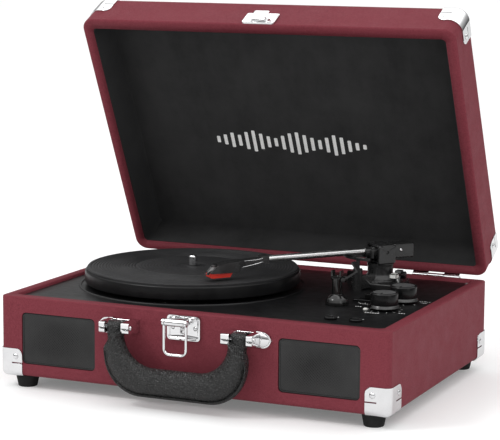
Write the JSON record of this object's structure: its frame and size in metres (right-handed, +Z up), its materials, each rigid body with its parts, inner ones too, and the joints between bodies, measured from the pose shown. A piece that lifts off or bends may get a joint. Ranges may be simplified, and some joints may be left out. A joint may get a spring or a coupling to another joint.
{
  "type": "suitcase record player",
  "caption": "Portable turntable in a leatherette-covered case with a hinged lid, carrying handle, latch, metal corners, front speakers and a cueing tonearm.",
  "frame": {"origin": "middle of the whole footprint, on the surface that the feet stand on, with the lid open", "axes": "+X to the right, +Y to the back, where the lid hinges, +Z up"},
  "size_m": [0.3628, 0.3194, 0.3301],
  "materials": {
    "burgundy_leatherette": "fine-grained, satin",
    "black_leather": "coarse-grained, satin",
    "black_cloth": "short flocked nap",
    "grille_mesh": "woven",
    "deck_plastic": "satin, lightly textured",
    "black_gloss_plastic": "glossy",
    "red_plastic": "glossy, slightly clear",
    "pale_lens": "clear lens",
    "bright_metal": "polished",
    "tube_metal": "satin",
    "steel": "plain",
    "brass": "turned",
    "rubber": "matte",
    "bottom_board": "painted board",
    "board_green": "circuit board"
  },
  "bodies": {
    "case": {"base_shell": "burgundy_leatherette", "bottom_panel": "bottom_board", "panel_screws": "steel", "feet": "rubber", "deck_plate": "deck_plastic", "speaker_grilles": "grille_mesh", "speaker_frames": "deck_plastic", "speaker_cones": "rubber", "speaker_magnets": "steel", "main_board": "board_green", "control_pots": "deck_plastic", "motor": "steel", "motor_mounts": "rubber", "platter_bearing": "brass", "drive_belt": "rubber", "jack_panel": "deck_plastic", "dc_jack": "black_gloss_plastic", "rca_jacks": "bright_metal", "audio_jacks": "black_gloss_plastic", "power_light": "pale_lens", "base_corners": "bright_metal", "base_rivets": "bright_metal", "latch_plate": "bright_metal", "hinge_base_leaves": "bright_metal", "hinge_base_screws": "bright_metal", "pivot_pins": "bright_metal", "handle_brackets": "bright_metal", "arm_rest": "deck_plastic", "tonearm_base": "deck_plastic", "switch_bezels": "deck_plastic"},
    "lid": {"lid_shell": "burgundy_leatherette", "lid_liner": "black_cloth", "lid_corners": "bright_metal", "lid_rivets": "bright_metal", "catch_plate": "bright_metal", "hinge_lid_leaves": "bright_metal", "hinge_lid_screws": "bright_metal"},
    "handle": {"handle": "black_leather"},
    "latch_lever": {"latch_lever": "bright_metal"},
    "latch_loop": {"latch_loop": "bright_metal"},
    "platter": {"platter": "deck_plastic", "platter_mat": "rubber", "spindle": "bright_metal"},
    "motor_pulley": {"motor_pulley": "brass"},
    "arm_turret": {"arm_turret": "deck_plastic"},
    "arm": {"arm_block": "deck_plastic", "arm_tube": "tube_metal", "headshell": "deck_plastic", "cartridge": "deck_plastic", "stylus": "red_plastic", "finger_lift": "bright_metal", "counterweight": "deck_plastic"},
    "lift_platform": {"lift_platform": "deck_plastic"},
    "cue_lever": {"cue_lever": "black_gloss_plastic"},
    "rest_clip": {"rest_clip": "deck_plastic"},
    "volume_knob": {"volume_knob": "black_gloss_plastic"},
    "source_knob": {"source_knob": "black_gloss_plastic"},
    "speed_slider": {"speed_slider": "black_gloss_plastic"},
    "stop_slider": {"stop_slider": "black_gloss_plastic"}
  },
  "joints": [
    {"name": "lid_hinge", "type": "hinge", "parent": "case", "child": "lid", "pos_m": [0, 0.12452, 0.08], "axis": [-1, 0, 0], "range_deg": [-63.7, 0]},
    {"name": "handle_swing", "type": "hinge", "parent": "case", "child": "handle", "pos_m": [-0.0024, -0.15018, 0.0665], "axis": [-1, 0, 0], "range_deg": [0, 150]},
    {"name": "latch_lever_swing", "type": "hinge", "parent": "case", "child": "latch_lever", "pos_m": [-0.0024, -0.13848, 0.075], "axis": [1, 0, 0], "range_deg": [0, 80]},
    {"name": "latch_loop_swing", "type": "hinge", "parent": "latch_lever", "child": "latch_loop", "pos_m": [-0.0024, -0.15268, 0.0755], "axis": [1, 0, 0], "range_deg": [-267.6, 0]},
    {"name": "platter_spin", "type": "hinge", "parent": "case", "child": "platter", "pos_m": [-0.058, -0.00268, 0.09], "axis": [0, 0, 1], "continuous": true},
    {"name": "pulley_spin", "type": "hinge", "parent": "case", "child": "motor_pulley", "pos_m": [0.00262, 0.03977, 0.084], "axis": [0, 0, 1], "continuous": true},
    {"name": "arm_yaw", "type": "hinge", "parent": "case", "child": "arm_turret", "pos_m": [0.097, 0.06432, 0.1], "axis": [0, 0, 1], "range_deg": [-12, 36.5]},
    {"name": "arm_lift", "type": "hinge", "parent": "arm_turret", "child": "arm", "pos_m": [0.097, 0.06432, 0.1105], "axis": [-0.7808, 0.6248, 0], "range_deg": [0, 5]},
    {"name": "lift_rise", "type": "slide", "parent": "case", "child": "lift_platform", "axis": [0, 0, 1], "range_m": [0, 0.00267]},
    {"name": "cue_lever_swing", "type": "hinge", "parent": "case", "child": "cue_lever", "pos_m": [0.118, 0.06432, 0.09], "axis": [-1, 0, 0], "range_deg": [0, 45]},
    {"name": "rest_clip_swing", "type": "hinge", "parent": "case", "child": "rest_clip", "pos_m": [0.1004, -0.03468, 0.1005], "axis": [0, -1, 0], "range_deg": [0, 56]},
    {"name": "volume_turn", "type": "hinge", "parent": "case", "child": "volume_knob", "pos_m": [0.1378, -0.03668, 0.09], "axis": [0, 0, 1], "range_deg": [-135, 135]},
    {"name": "source_turn", "type": "hinge", "parent": "case", "child": "source_knob", "pos_m": [0.1418, 0.00032, 0.09], "axis": [0, 0, 1], "range_deg": [-60, 60]},
    {"name": "speed_slide", "type": "slide", "parent": "case", "child": "speed_slider", "axis": [1, 0, 0], "range_m": [-0.006, 0.006]},
    {"name": "stop_slide", "type": "slide", "parent": "case", "child": "stop_slider", "axis": [1, 0, 0], "range_m": [0, 0.006]}
  ],
  "couplings": [
    {"joint": "latch_loop_swing", "follows": "latch_lever_swing", "ratio": -3.345},
    {"joint": "pulley_spin", "follows": "platter_spin", "ratio": 14.5},
    {"joint": "lift_rise", "follows": "arm_lift", "m_per_rad": 0.030559},
    {"joint": "cue_lever_swing", "follows": "arm_lift", "ratio": 9}
  ]
}
